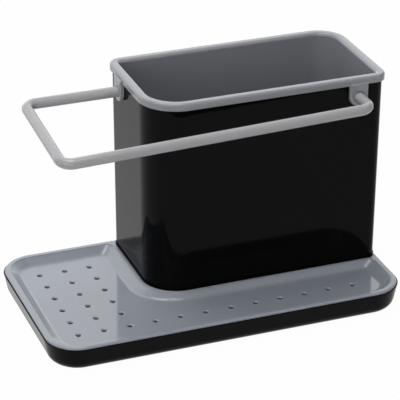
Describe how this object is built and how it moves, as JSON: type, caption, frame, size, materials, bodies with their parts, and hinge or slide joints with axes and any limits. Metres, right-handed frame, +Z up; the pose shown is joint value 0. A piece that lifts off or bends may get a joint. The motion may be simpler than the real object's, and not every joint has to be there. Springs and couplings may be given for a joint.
{
  "type": "kitchen sink caddy",
  "caption": "Kitchen sink caddy: drip base, drainer tray with an L-shaped dish and drain holes, a tall bin with a lift-out liner, and a bent rail for a cloth.",
  "frame": {"origin": "middle of the tray's outline, on the surface that the feet stand on", "axes": "+X along the tray's length, +Y to the rear where the bin stands, +Z up"},
  "size_m": [0.2119, 0.1155, 0.1323],
  "materials": {
    "black_plastic": "gloss",
    "grey_plastic": "satin gloss",
    "soft_pad": "matte"
  },
  "bodies": {
    "base": {"base_tray": "black_plastic", "foot_front_left": "soft_pad", "foot_front_right": "soft_pad", "foot_rear_left": "soft_pad", "foot_rear_right": "soft_pad"},
    "drainer": {"drainer_tray": "grey_plastic"},
    "bin": {"bin": "black_plastic"},
    "liner": {"liner": "grey_plastic", "towel_rail": "grey_plastic"}
  },
  "joints": [
    {"name": "tray_lift", "type": "slide", "parent": "base", "child": "drainer", "axis": [0, 0, 1], "range_m": [0, 0.04]},
    {"name": "bin_lift", "type": "slide", "parent": "drainer", "child": "bin", "axis": [0, 0, 1], "range_m": [0, 0.04]},
    {"name": "liner_lift", "type": "slide", "parent": "bin", "child": "liner", "axis": [0, 0, 1], "range_m": [0, 0.125]}
  ]
}
